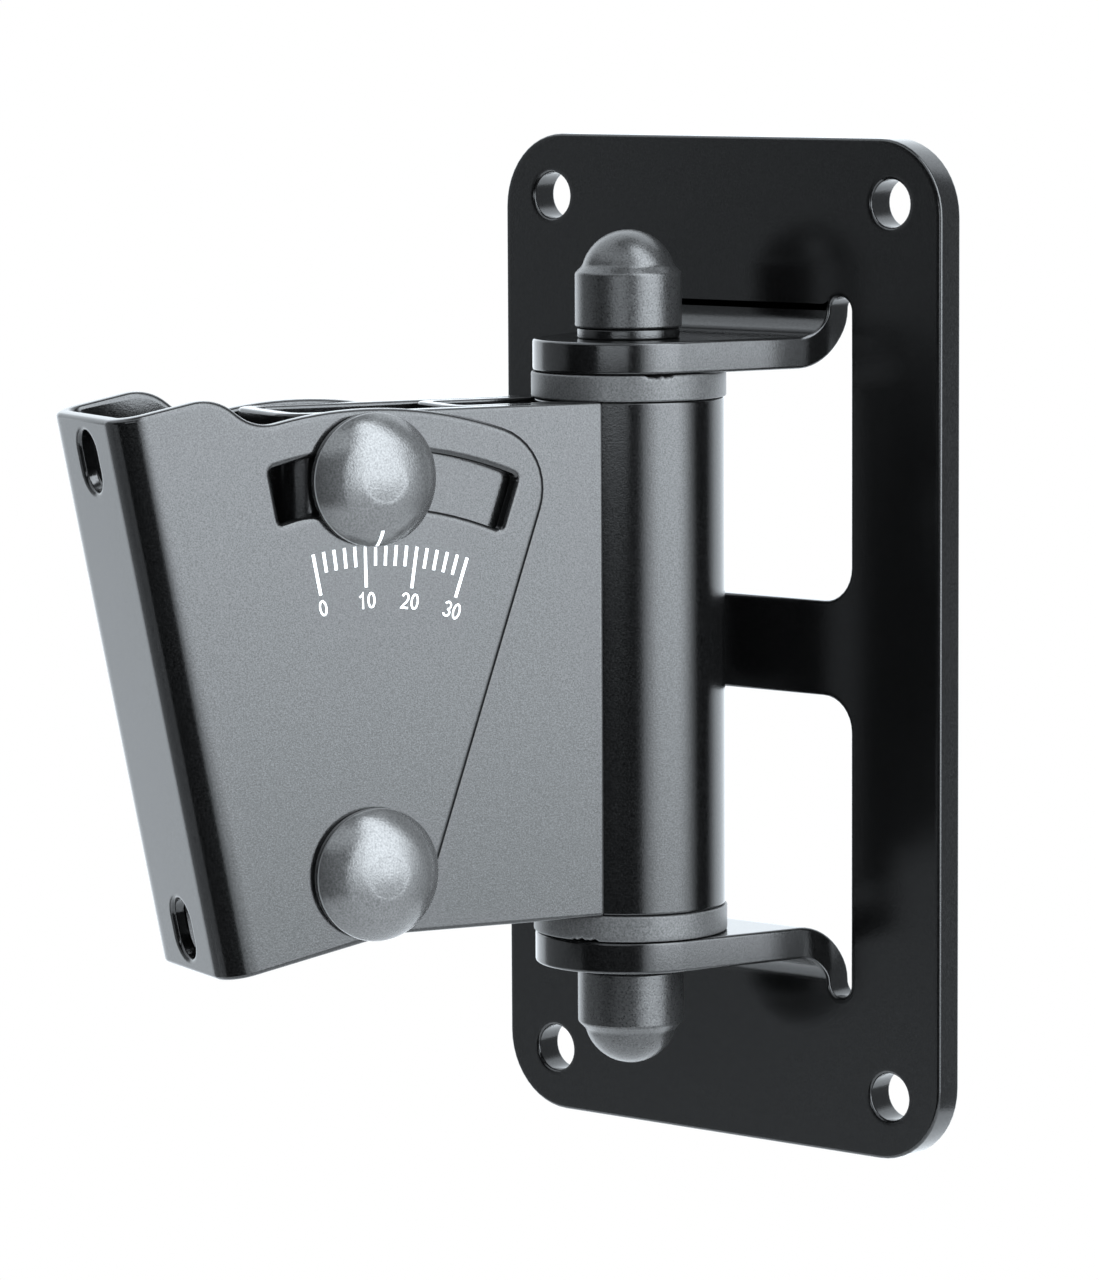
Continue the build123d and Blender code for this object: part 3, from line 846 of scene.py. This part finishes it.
class BRACKET_OT_scale(bpy.types.Operator):
    """Prints the tilt scale on the channel and the pointer on the clamp bolt"""

    bl_idname = "bracket.scale"
    bl_label = "Tilt scale"

    def execute(self, context):
        scene = context.scene
        look, pose = scene.bracket_scale, scene.bracket_pose
        face = scene.bracket_channel.half_width + PRINT_GAP
        numbers = bmesh.new()
        ticks = 16
        lying = Matrix.Rotation(-QUARTER, 4, "X")
        for index in range(ticks):
            length = look.long_tick if index % 5 == 0 else look.short_tick
            turn = Matrix.Rotation(-index * pose.tilt_limit / (ticks - 1), 4, "Y")
            spot = shift(0, face, look.outer - length / 2)
            shape = Matrix.Diagonal((look.line, 1, length, 1))
            bmesh.ops.create_grid(
                numbers, x_segments=1, y_segments=1, size=0.5, matrix=turn @ spot @ shape @ lying
            )
        mirrored = Matrix.Diagonal((-look.label_height, 1, look.label_height, 1))
        for degrees in (0, 10, 20, 30):
            label = str(degrees)
            turn = Matrix.Rotation(-math.radians(degrees), 4, "Y")
            seat = turn @ shift(0, face, look.label_radius) @ mirrored
            for index, digit in enumerate(label):
                offset = (index - (len(label) - 1) / 2) * DIGIT_STEP
                for path in DIGITS[digit]:
                    ribbon(numbers, path, DIGIT_LINE, seat @ shift(offset, 0, -0.5))
        face_along(numbers, (0, face, look.outer), (0, 1, 0))
        finish_piece("tilt_scale_print", numbers, channel_frame(scene), "channel", "black_coat", "ink")
        pointer = bmesh.new()
        head_face = scene.bracket_channel.half_width + CLAMP_GAP + 0.02 * MM
        start, end = look.pointer_start, HEAD_RADIUS - 0.15 * MM
        half, rungs = look.line * POINTER_SHARE / 2, 8
        rails = []
        for step in range(rungs + 1):
            reach = start + (end - start) * step / rungs
            level = head_face + head_level(reach)
            rails.append([pointer.verts.new((side * half, level, -reach)) for side in (-1, 1)])
        bridge(pointer, rails)
        face_along(pointer, (0, head_face + HEAD_HEIGHT, -start), (0, 1, 0))
        finish_piece("clamp_pointer_print", pointer, clamp_frame(scene), "arm", "black_bolt", "ink")
        return {"FINISHED"}


# Bolts, nuts, washers and caps

# Play under the upper bolt's head, then radii, widths, heights and lengths of bolts and washers
CLAMP_GAP = 0.1 * MM
SHANK, THREAD, PITCH, NECK = 4.0 * MM, 22.0 * MM, 1.25 * MM, 8.0 * MM
WASHER_RADIUS, WASHER = 8.0 * MM, 1.6 * MM
HEXAGON_RADIUS, HEXAGON_HEIGHT = 7.5 * MM, 5.3 * MM
CROSS_OVERHANG, PIVOT_LENGTH = 11.6 * MM, 110.0 * MM
HEAD_RADIUS, HEAD_RIM, HEAD_HEIGHT = 10.15 * MM, 1.4 * MM, 5.3 * MM
HEAD_CURVE, HEAD_SHOULDER, HEAD_RING = 21.0 * MM, 6.4 * MM, 3.3 * MM


def along_bolt(bolt_frame, offset, side):
    """Frame on a cross bolt with its z axis along the bolt."""
    return bolt_frame @ shift(y=side * offset) @ Matrix.Rotation(-side * QUARTER, 4, "X")


def head_shoulder():
    """Where the cup head's flat crown turns down to its rim: point, lean, the turn's centre and radius."""
    lean = math.asin(HEAD_SHOULDER / HEAD_CURVE)
    upward = Vector((math.sin(lean), math.cos(lean)))
    point = Vector((0, HEAD_HEIGHT - HEAD_CURVE)) + upward * HEAD_CURVE
    to_rim = Vector((HEAD_RADIUS, HEAD_RIM)) - point
    radius = -to_rim.length_squared / (2 * to_rim.dot(upward))
    return point, lean, point - upward * radius, radius


def cup_head():
    """Cup head with a faint forged ring in its crown, from its seat up."""
    _, lean, centre, _ = head_shoulder()
    rim_lean = math.atan2(HEAD_RADIUS - centre.x, HEAD_RIM - centre.y)
    ring_lean = math.asin(HEAD_RING / HEAD_CURVE)
    ring_height = HEAD_HEIGHT - HEAD_CURVE * (1 - math.cos(ring_lean))
    groove, inner = HEAD_RING - 0.12 * MM, HEAD_RING - 0.3 * MM
    head = lathe((0, 0), [
        (HEAD_RADIUS - 0.3 * MM, 0),
        (HEAD_RADIUS, 0.3 * MM),
        (HEAD_RADIUS, HEAD_RIM - 0.12 * MM),
        (HEAD_RADIUS, HEAD_RIM),
        (*centre, rim_lean - lean, 20),
        (0, HEAD_HEIGHT - HEAD_CURVE, lean - ring_lean, 5),
        (groove, ring_height - 0.004 * MM),
        (inner, ring_height + 0.008 * MM),
        (inner / 2, ring_height + 0.16 * MM),
        (0, ring_height + 0.2 * MM),
    ], steps=120)
    # Painted highlight on the edge where the dome meets the rim wall
    rub(head, HEAD_RIM)
    return head


def head_level(reach):
    """Height of the cup head's face at a distance from its axis."""
    point, _, centre, radius = head_shoulder()
    if reach < point.x:
        return HEAD_HEIGHT - HEAD_CURVE + math.sqrt(HEAD_CURVE**2 - reach**2)
    return centre.y + math.sqrt(radius**2 - (reach - centre.x) ** 2)


def threaded(length):
    """Shank pointing down from its seat, its end cut with a thread."""
    core, foot = SHANK - 0.65 * MM, 0.5 * MM - length
    neck = THREAD - length
    bm = lathe((0, 0), [
        (SHANK, 0), (SHANK, neck), (core, neck - 0.6 * MM), (core, foot), (core - 0.6 * MM, -length),
        (0, -length),
    ], steps=40)
    turns = int((THREAD - 1.2 * MM) / PITCH)
    steps = 28
    root = core - 0.05 * MM
    ridge = bmesh.new()
    trace(ridge, (root, foot), [
        (SHANK, foot + PITCH * 0.42), (SHANK, foot + PITCH * 0.54), (root, foot + PITCH * 0.96),
    ])
    spin(ridge, ridge.verts[:] + ridge.edges[:], math.tau * turns, steps * turns, climb=PITCH / steps)
    bmesh.ops.recalc_face_normals(ridge, faces=ridge.faces)
    return merged([bm, ridge])


def nut_shape():
    """Lock nut from its seat up: chamfered hexagon and a rolled collar over the nylon ring."""
    flats, collar, lip, bore, top = 6.5 * MM, 5.7 * MM, 4.75 * MM, 4.03 * MM, 8.0 * MM
    groove, low, high = 5.52 * MM, 5.8 * MM, 7.5 * MM
    corner = flats / math.cos(math.pi / 6)
    bm = lathe((bore, 0), [
        (flats - 0.1 * MM, 0), (corner, 0.55 * MM), (corner, 4.9 * MM), (flats - 0.15 * MM, 5.6 * MM),
        (collar, 5.7 * MM), (collar, 7.2 * MM), (collar - 0.25 * MM, 7.75 * MM), (collar - 0.8 * MM, top),
        (lip, top), (lip, high), (groove, high), (groove, low), (bore, low), (bore, 0),
    ], steps=72)
    for vert in bm.verts:
        reach = vert.co.xy.length
        if reach > collar + 0.1 * MM:
            turn = math.atan2(vert.co.y, vert.co.x) % (math.pi / 3) - math.pi / 6
            vert.co.xy *= min(reach, flats / math.cos(turn)) / reach
    return bm


def nut_set(name, seat, body, washer_finish="black_bolt", washer_edge=0.25 * MM, washer_steps=64):
    """Dresses a washer on its seat and on it the lock nut with its nylon ring."""
    washer = ring_shape(BOLT_HOLE, WASHER_RADIUS, 0, WASHER, washer_steps)
    dress(name + "_washer", washer, seat, body, "black_bolt", washer_finish, edge=washer_edge, limit=40)
    seat = seat @ shift(z=WASHER)
    dress(name + "_nut", nut_shape(), seat, body, "black_bolt", edge=0.12 * MM, edge_steps=2, limit=28)
    nylon = ring_shape(4.02 * MM, 5.5 * MM, 5.8 * MM, 7.5 * MM)
    dress(name + "_nut_ring", nylon, seat, body, "nylon", edge=0.1 * MM, edge_steps=2)


class BRACKET_OT_cross_bolts(bpy.types.Operator):
    """Builds the two cup bolts through the channel with their washers and lock nuts"""

    bl_idname = "bracket.cross_bolts"
    bl_label = "Cross bolts"

    def execute(self, context):
        scene = context.scene
        look = scene.bracket_channel
        for name, body, gap, bolt_frame in (
            ("tilt", "channel", 0.0, channel_frame(scene)), ("clamp", "arm", CLAMP_GAP, clamp_frame(scene)),
        ):
            depth = look.sheet + gap
            neck = bmesh.new()
            square = shift(z=-depth / 2) @ Matrix.Diagonal((NECK, NECK, depth, 1))
            bmesh.ops.create_cube(neck, size=1, matrix=square)
            bolt = merged([cup_head(), neck, threaded(2 * look.half_width + gap + CROSS_OVERHANG)])
            seats = [along_bolt(bolt_frame, look.half_width + gap, side) for side in (1, -1)]
            rims = {"edge": 0.12 * MM, "edge_steps": 2, "limit": 45}
            dress(name + "_bolt", bolt, seats[0], body, "black_bolt", **rims)
            nut_set(name, seats[1], body)
        return {"FINISHED"}


def cap_shape():
    """Moulded cap from its rim up: straight skirt, small step and round dome over a stepped hollow."""
    skirt, step, shoulder, dome = 8.4 * MM, 1.2 * MM, 7.15 * MM, 5.5 * MM
    outer, bore, depth, pocket, pocket_depth = 8.35 * MM, 7.62 * MM, 8.05 * MM, 4.7 * MM, 10.4 * MM
    radius = (shoulder**2 + dome**2) / (2 * dome)
    centre = skirt + step + dome - radius
    sweep = QUARTER - math.atan2(skirt + step - centre, shoulder)
    return lathe((bore, 0), [
        (outer, 0), (outer, skirt), (shoulder, skirt + step), (0, centre, sweep, 16),
        (0, pocket_depth), (pocket, pocket_depth), (pocket, depth), (bore, depth), (bore, 0),
    ], steps=96)


class BRACKET_OT_pivot_bolt(bpy.types.Operator):
    """Builds the upright bolt with its washer, lock nut and the two moulded caps"""

    bl_idname = "bracket.pivot_bolt"
    bl_label = "Upright bolt and caps"

    def execute(self, context):
        scene = context.scene
        level = scene.bracket_plate.ear_top
        upright = arm_frame(scene)
        flipped = upright @ Matrix.Rotation(math.pi, 4, "X")
        hexagon = bmesh.new()
        bmesh.ops.create_cone(
            hexagon, cap_ends=True, segments=6, radius1=HEXAGON_RADIUS, radius2=HEXAGON_RADIUS,
            depth=HEXAGON_HEIGHT, matrix=shift(z=HEXAGON_HEIGHT / 2),
        )
        bolt = merged([hexagon, threaded(PIVOT_LENGTH)])
        rims = {"edge": 0.2 * MM, "edge_steps": 2, "limit": 45}
        dress("pivot_bolt", bolt, flipped @ shift(z=level), "wall_side", "black_bolt", **rims)
        nut_set("pivot", upright @ shift(z=level), "wall_side", "washer_steel", 0.3 * MM, 96)
        for name, base, lift in (("upper_cap", upright, 1.75 * MM), ("lower_cap", flipped, 1.2 * MM)):
            rim = base @ shift(z=level + lift)
            dress(name, cap_shape(), rim, "wall_side", "cap_plastic", edge=0.3 * MM, limit=25)
        return {"FINISHED"}


# Studio

TINT = (0.93, 1.0, 1.063)

# Point that the strip light looks at, and the widths of its nested strips, which give it soft edges
STRIP_AIM = (0, -0.03, 0.05)
STRIP_SHARES = (0.5, 0.8, 1.1, 1.4)

# Soft patches of the surround: brightness, then start, end and blur in degrees of azimuth and of elevation.
# Azimuth is 0 straight in front of the plate and grows towards +X.
SKY_PATCHES = (
    ("Room in front", 0.6, (-86, 56, 3), (-65, 30, 6)),
    ("Dark gap", 0.05, (-38, 54, 8), (-65, 30, 8)),
    ("Dark ceiling", 0.4, (-200, 200, 1), (68, 100, 6)),
    ("Low room", 0.7, (-40.5, -20, 1), (-30, -8.5, 2)),
    ("Dark far side", 0.45, (122, 160, 10), (-65, 62, 8)),
    ("Side softbox", 9.8, (67, 112, 13), (-8.6, 80, 7)),
)


def direction_to(azimuth, elevation):
    """Unit vector towards an azimuth and an elevation."""
    flat = math.cos(elevation)
    return Vector((math.sin(azimuth) * flat, -math.cos(azimuth) * flat, math.sin(elevation)))


def sky_angles(tree):
    """Azimuth and elevation in degrees of a direction of the surround."""
    split = tree.nodes.new("ShaderNodeSeparateXYZ")
    tree.links.new(add_node(tree, "ShaderNodeTexCoord", "Generated"), split.inputs[0])
    x, y, z = split.outputs
    azimuth = maths(tree, "ARCTAN2", x, maths(tree, "MULTIPLY", y, -1))
    return maths(tree, "DEGREES", azimuth), maths(tree, "DEGREES", maths(tree, "ARCSINE", z))


def sky_patch(tree, angles, ranges):
    """Mask of a soft-edged patch between two azimuths and two elevations."""
    mask = 1.0
    for value, (start, end, blur) in zip(angles, ranges):
        for limit, before, after in ((start, 0, 1), (end, 1, 0)):
            edge = ramp(tree, value, limit - blur, limit + blur, before, after, "SMOOTHSTEP")
            mask = maths(tree, "MULTIPLY", mask, edge)
    return mask


class BRACKET_OT_studio(bpy.types.Operator):
    """Sets the pale floor, the soft lights, the surround and the camera"""

    bl_idname = "bracket.studio"
    bl_label = "Studio"

    def execute(self, context):
        scene = context.scene
        look = scene.bracket_studio
        scene.view_settings.view_transform = "Standard"
        floor = bmesh.new()
        level = shift(z=-look.floor_depth)
        bmesh.ops.create_grid(floor, x_segments=1, y_segments=1, size=look.floor_half, matrix=level)
        new_object("studio_floor", floor, "floor")

        spared = bpy.data.collections.new("Spared from the strip")
        for name in ("tilt_bolt_dressed", "clamp_bolt_dressed"):
            spared.objects.link(bpy.data.objects[name])
        for entry in spared.collection_objects:
            entry.light_linking.link_state = "EXCLUDE"
        spot = direction_to(look.strip_azimuth, look.strip_elevation) * look.strip_distance
        aim = (Vector(STRIP_AIM) - spot).to_track_quat("-Z", "Y")
        for share in STRIP_SHARES:
            light = bpy.data.lights.new("front_strip", "AREA")
            light.shape = "RECTANGLE"
            light.size, light.size_y = look.strip_width * share, look.strip_height
            light.energy = look.strip_power * share / len(STRIP_SHARES)
            light.color = TINT
            strip = bpy.data.objects.new("front_strip", light)
            strip.visible_camera = False
            strip.matrix_world = Matrix.Translation(spot) @ aim.to_matrix().to_4x4()
            scene.collection.objects.link(strip)
            strip.light_linking.receiver_collection = spared

        world = bpy.data.worlds.new("White surround")
        scene.world = world
        world.use_nodes = True
        tree = world.node_tree
        angles, brightness = sky_angles(tree), look.surround
        for name, level, *ranges in SKY_PATCHES:
            brightness = mixed(tree, sky_patch(tree, angles, ranges), brightness, level, label=name)
        surround = tree.nodes["Background"]
        surround.inputs["Color"].default_value = (*TINT, 1)
        tree.links.new(brightness, surround.inputs["Strength"])
        backdrop = add_node(tree, "ShaderNodeBackground", 0, {"Color": (1, 1, 1, 1)})
        seen = add_node(tree, "ShaderNodeLightPath", "Is Camera Ray")
        shown = add_node(tree, "ShaderNodeMixShader", 0, {0: seen, 1: surround.outputs[0], 2: backdrop})
        tree.links.new(shown, tree.nodes["World Output"].inputs["Surface"])

        lens = bpy.data.cameras.new("photo_camera")
        lens.sensor_fit = "VERTICAL"
        lens.sensor_height = 36.0
        lens.lens = look.lens
        camera = bpy.data.objects.new("photo_camera", lens)
        away = direction_to(look.azimuth, look.elevation)
        turn = away.to_track_quat("Z", "Y").to_matrix().to_4x4() @ Matrix.Rotation(look.roll, 4, "Z")
        camera.matrix_world = Matrix.Translation(Vector(look.target) + away * look.distance) @ turn
        scene.collection.objects.link(camera)
        scene.camera = camera
        return {"FINISHED"}


class BRACKET_PT_panel(bpy.types.Panel):
    """Settings and builders of the bracket"""

    bl_label = "Speaker wall bracket"
    bl_idname = "BRACKET_PT_panel"
    bl_space_type = "VIEW_3D"
    bl_region_type = "UI"
    bl_category = "Bracket"

    def draw(self, context):
        for operator in OPERATORS:
            self.layout.operator(operator.bl_idname)
        for name, group in SETTINGS.items():
            box = self.layout.box()
            box.label(text=group.__doc__)
            for field in group.__annotations__:
                box.prop(getattr(context.scene, name), field)


OPERATORS = (
    BRACKET_OT_wall_plate,
    BRACKET_OT_barrel,
    BRACKET_OT_arm,
    BRACKET_OT_channel,
    BRACKET_OT_scale,
    BRACKET_OT_cross_bolts,
    BRACKET_OT_pivot_bolt,
    BRACKET_OT_studio,
)


def register():
    for group in SETTINGS.values():
        bpy.utils.register_class(group)
    for name, group in SETTINGS.items():
        setattr(bpy.types.Scene, name, bpy.props.PointerProperty(type=group))
    for operator in OPERATORS:
        bpy.utils.register_class(operator)
    bpy.utils.register_class(BRACKET_PT_panel)


def unregister():
    bpy.utils.unregister_class(BRACKET_PT_panel)
    for operator in reversed(OPERATORS):
        bpy.utils.unregister_class(operator)
    for name, group in SETTINGS.items():
        delattr(bpy.types.Scene, name)
        bpy.utils.unregister_class(group)


def main():
    register()
    bpy.ops.bracket.wall_plate()
    bpy.ops.bracket.barrel()
    bpy.ops.bracket.arm()
    bpy.ops.bracket.channel()
    bpy.ops.bracket.scale()
    bpy.ops.bracket.cross_bolts()
    bpy.ops.bracket.pivot_bolt()
    bpy.ops.bracket.studio()
    bpy.context.view_layer.update()


if __name__ == "__main__":
    main()
